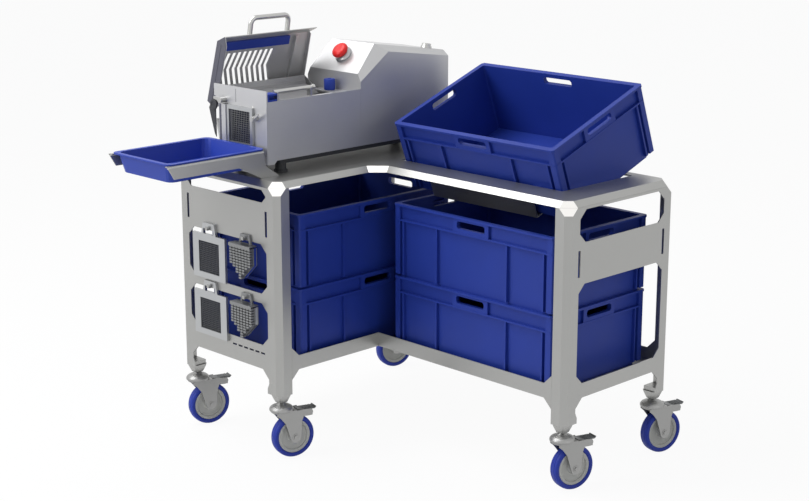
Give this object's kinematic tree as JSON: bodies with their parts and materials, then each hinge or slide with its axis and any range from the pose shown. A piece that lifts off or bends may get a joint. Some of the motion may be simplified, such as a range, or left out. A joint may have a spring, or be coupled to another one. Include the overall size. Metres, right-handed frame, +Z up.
{
  "type": "vegetable stick cutter",
  "caption": "Vegetable stick cutter: pusher and knife-grid machine with a hinged lid on an L-shaped sheet-metal trolley, with stacking crates, an outlet tray and exchange cutting tools.",
  "frame": {"origin": "on the floor, below the middle of the bounding box", "axes": "+Z up; +X along the wing with the tilted crate, away from the machine; +Y from the outlet tray to the drive housing"},
  "size_m": [1.1696, 1.197, 1.2195],
  "materials": {
    "frame_steel": "brushed, folded sheet",
    "machine_steel": "brushed",
    "blade_steel": "ground",
    "crate_blue": "moulded, slightly textured",
    "tray_blue": "smooth moulded",
    "tyre_blue": "smooth elastic",
    "wheel_grey": "smooth",
    "stop_red": "gloss",
    "dark_plastic": "dark, matt"
  },
  "bodies": {
    "trolley": {"back_post": "frame_steel", "base_frame": "frame_steel", "bumper_ledge": "machine_steel", "chamber_bumper": "tray_blue", "chamber_shell": "machine_steel", "chamber_trough": "machine_steel", "crate_b_lower": "crate_blue", "crate_cradle": "frame_steel", "drive_hood": "machine_steel", "front_plate": "machine_steel", "guide_rod": "machine_steel", "hood_cap": "frame_steel", "left_end_panel": "frame_steel", "lid_hinge_rod": "frame_steel", "machine_base": "dark_plastic", "right_end_panel": "frame_steel", "rod_block": "tray_blue", "stop_base": "dark_plastic", "table_top": "frame_steel", "tray_bracket": "frame_steel"},
    "lid_body": {"lid": "machine_steel", "lid_handle": "frame_steel", "lid_strip": "tray_blue"},
    "pusher": {"pusher_head": "frame_steel", "pusher_rod": "frame_steel"},
    "stop_press": {"stop_button": "stop_red"},
    "clamp_right_lever": {"clamp_right": "frame_steel"},
    "clamp_left_lever": {"clamp_left": "frame_steel"},
    "knife_cassette": {"knife_frame": "blade_steel", "knife_grid": "blade_steel"},
    "tray": {"product_tray": "tray_blue"},
    "tilted_crate": {"crate_tilted": "crate_blue"},
    "lower_crate_a": {"crate_a_lower": "crate_blue"},
    "upper_crate_a": {"crate_a_upper": "crate_blue"},
    "upper_crate_b": {"crate_b_upper": "crate_blue"},
    "spare_cassette_upper": {"spare_frame_upper": "blade_steel", "spare_grid_upper": "blade_steel"},
    "spare_cassette_lower": {"spare_frame_lower": "blade_steel", "spare_grid_lower": "blade_steel"},
    "spare_head_upper": {"spare_pusher_upper": "blade_steel"},
    "spare_head_lower": {"spare_pusher_lower": "blade_steel"},
    "left_front_swivel": {"caster_left_front_fork": "frame_steel"},
    "left_front_wheel": {"caster_left_front_wheel": "wheel_grey", "caster_left_front_tyre": "tyre_blue"},
    "left_front_pedal": {"caster_left_front_brake": "frame_steel"},
    "left_inner_swivel": {"caster_left_inner_fork": "frame_steel"},
    "left_inner_wheel": {"caster_left_inner_wheel": "wheel_grey", "caster_left_inner_tyre": "tyre_blue"},
    "left_inner_pedal": {"caster_left_inner_brake": "frame_steel"},
    "right_front_swivel": {"caster_right_front_fork": "frame_steel"},
    "right_front_wheel": {"caster_right_front_wheel": "wheel_grey", "caster_right_front_tyre": "tyre_blue"},
    "right_front_pedal": {"caster_right_front_brake": "frame_steel"},
    "right_back_swivel": {"caster_right_back_fork": "frame_steel"},
    "right_back_wheel": {"caster_right_back_wheel": "wheel_grey", "caster_right_back_tyre": "tyre_blue"},
    "right_back_pedal": {"caster_right_back_brake": "frame_steel"},
    "left_back_swivel": {"caster_left_back_fork": "frame_steel"},
    "left_back_wheel": {"caster_left_back_wheel": "wheel_grey", "caster_left_back_tyre": "tyre_blue"}
  },
  "joints": [
    {"name": "lid_hinge", "type": "hinge", "parent": "trolley", "child": "lid_body", "pos_m": [-0.45806, -0.24295, 0.985], "axis": [0, 1, 0], "range_deg": [0, 66]},
    {"name": "pusher_slide", "type": "slide", "parent": "trolley", "child": "pusher", "axis": [0, -1, 0], "range_m": [0, 0.222]},
    {"name": "stop_push", "type": "slide", "parent": "trolley", "child": "stop_press", "axis": [0, 0.7098, -0.7044], "range_m": [0, 0.005], "stiffness_N_per_m": 600},
    {"name": "clamp_right_turn", "type": "hinge", "parent": "trolley", "child": "clamp_right_lever", "pos_m": [-0.28106, -0.25025, 0.956], "axis": [0, 1, 0], "range_deg": [-150, 30]},
    {"name": "clamp_left_turn", "type": "hinge", "parent": "trolley", "child": "clamp_left_lever", "pos_m": [-0.41906, -0.25025, 0.9935], "axis": [0, 1, 0], "range_deg": [-30, 215]},
    {"name": "knife_lift", "type": "slide", "parent": "trolley", "child": "knife_cassette", "axis": [0, 0, 1], "range_m": [0, 0.15]},
    {"name": "tray_lift", "type": "slide", "parent": "trolley", "child": "tray", "axis": [0, 0, 1], "range_m": [0, 0.04]},
    {"name": "tilted_crate_lift", "type": "slide", "parent": "trolley", "child": "tilted_crate", "axis": [0, 0, 1], "range_m": [0, 0.25]},
    {"name": "lower_crate_a_lift", "type": "slide", "parent": "trolley", "child": "lower_crate_a", "axis": [0, 0, 1], "range_m": [0, 0.03]},
    {"name": "upper_crate_a_lift", "type": "slide", "parent": "lower_crate_a", "child": "upper_crate_a", "axis": [0, 0, 1], "range_m": [0, 0.05]},
    {"name": "upper_crate_b_lift", "type": "slide", "parent": "trolley", "child": "upper_crate_b", "axis": [0, 0, 1], "range_m": [0, 0.003]},
    {"name": "spare_cassette_upper_lift", "type": "slide", "parent": "trolley", "child": "spare_cassette_upper", "axis": [0, 0, 1], "range_m": [0, 0.01]},
    {"name": "spare_cassette_lower_lift", "type": "slide", "parent": "trolley", "child": "spare_cassette_lower", "axis": [0, 0, 1], "range_m": [0, 0.005]},
    {"name": "spare_head_upper_lift", "type": "slide", "parent": "trolley", "child": "spare_head_upper", "axis": [0, 0, 1], "range_m": [0, 0.01]},
    {"name": "spare_head_lower_lift", "type": "slide", "parent": "trolley", "child": "spare_head_lower", "axis": [0, 0, 1], "range_m": [0, 0.01]},
    {"name": "left_front_swivel_turn", "type": "hinge", "parent": "trolley", "child": "left_front_swivel", "pos_m": [-0.55006, -0.27795, 0], "axis": [0, 0, 1], "continuous": true},
    {"name": "left_front_wheel_spin", "type": "hinge", "parent": "left_front_swivel", "child": "left_front_wheel", "pos_m": [-0.54152, -0.24608, 0.0625], "axis": [-0.9659, 0.2588, 0], "continuous": true},
    {"name": "left_front_pedal_turn", "type": "hinge", "parent": "left_front_swivel", "child": "left_front_pedal", "pos_m": [-0.53867, -0.23545, 0.136], "axis": [-0.9659, 0.2588, 0], "range_deg": [0, 12]},
    {"name": "left_inner_swivel_turn", "type": "hinge", "parent": "trolley", "child": "left_inner_swivel", "pos_m": [-0.16606, -0.27795, 0], "axis": [0, 0, 1], "continuous": true},
    {"name": "left_inner_wheel_spin", "type": "hinge", "parent": "left_inner_swivel", "child": "left_inner_wheel", "pos_m": [-0.15752, -0.24608, 0.0625], "axis": [-0.9659, 0.2588, 0], "continuous": true},
    {"name": "left_inner_pedal_turn", "type": "hinge", "parent": "left_inner_swivel", "child": "left_inner_pedal", "pos_m": [-0.15467, -0.23545, 0.136], "axis": [-0.9659, 0.2588, 0], "range_deg": [0, 12]},
    {"name": "right_front_swivel_turn", "type": "hinge", "parent": "trolley", "child": "right_front_swivel", "pos_m": [0.54394, 0.10205, 0], "axis": [0, 0, 1], "continuous": true},
    {"name": "right_front_wheel_spin", "type": "hinge", "parent": "right_front_swivel", "child": "right_front_wheel", "pos_m": [0.55248, 0.13392, 0.0625], "axis": [-0.9659, 0.2588, 0], "continuous": true},
    {"name": "right_front_pedal_turn", "type": "hinge", "parent": "right_front_swivel", "child": "right_front_pedal", "pos_m": [0.55533, 0.14455, 0.136], "axis": [-0.9659, 0.2588, 0], "range_deg": [0, 12]},
    {"name": "right_back_swivel_turn", "type": "hinge", "parent": "trolley", "child": "right_back_swivel", "pos_m": [0.54394, 0.49605, 0], "axis": [0, 0, 1], "continuous": true},
    {"name": "right_back_wheel_spin", "type": "hinge", "parent": "right_back_swivel", "child": "right_back_wheel", "pos_m": [0.55248, 0.52792, 0.0625], "axis": [-0.9659, 0.2588, 0], "continuous": true},
    {"name": "right_back_pedal_turn", "type": "hinge", "parent": "right_back_swivel", "child": "right_back_pedal", "pos_m": [0.55533, 0.53855, 0.136], "axis": [-0.9659, 0.2588, 0], "range_deg": [0, 12]},
    {"name": "left_back_swivel_turn", "type": "hinge", "parent": "trolley", "child": "left_back_swivel", "pos_m": [-0.55006, 0.49605, 0], "axis": [0, 0, 1], "continuous": true},
    {"name": "left_back_wheel_spin", "type": "hinge", "parent": "left_back_swivel", "child": "left_back_wheel", "pos_m": [-0.54152, 0.52792, 0.0625], "axis": [-0.9659, 0.2588, 0], "continuous": true}
  ]
}
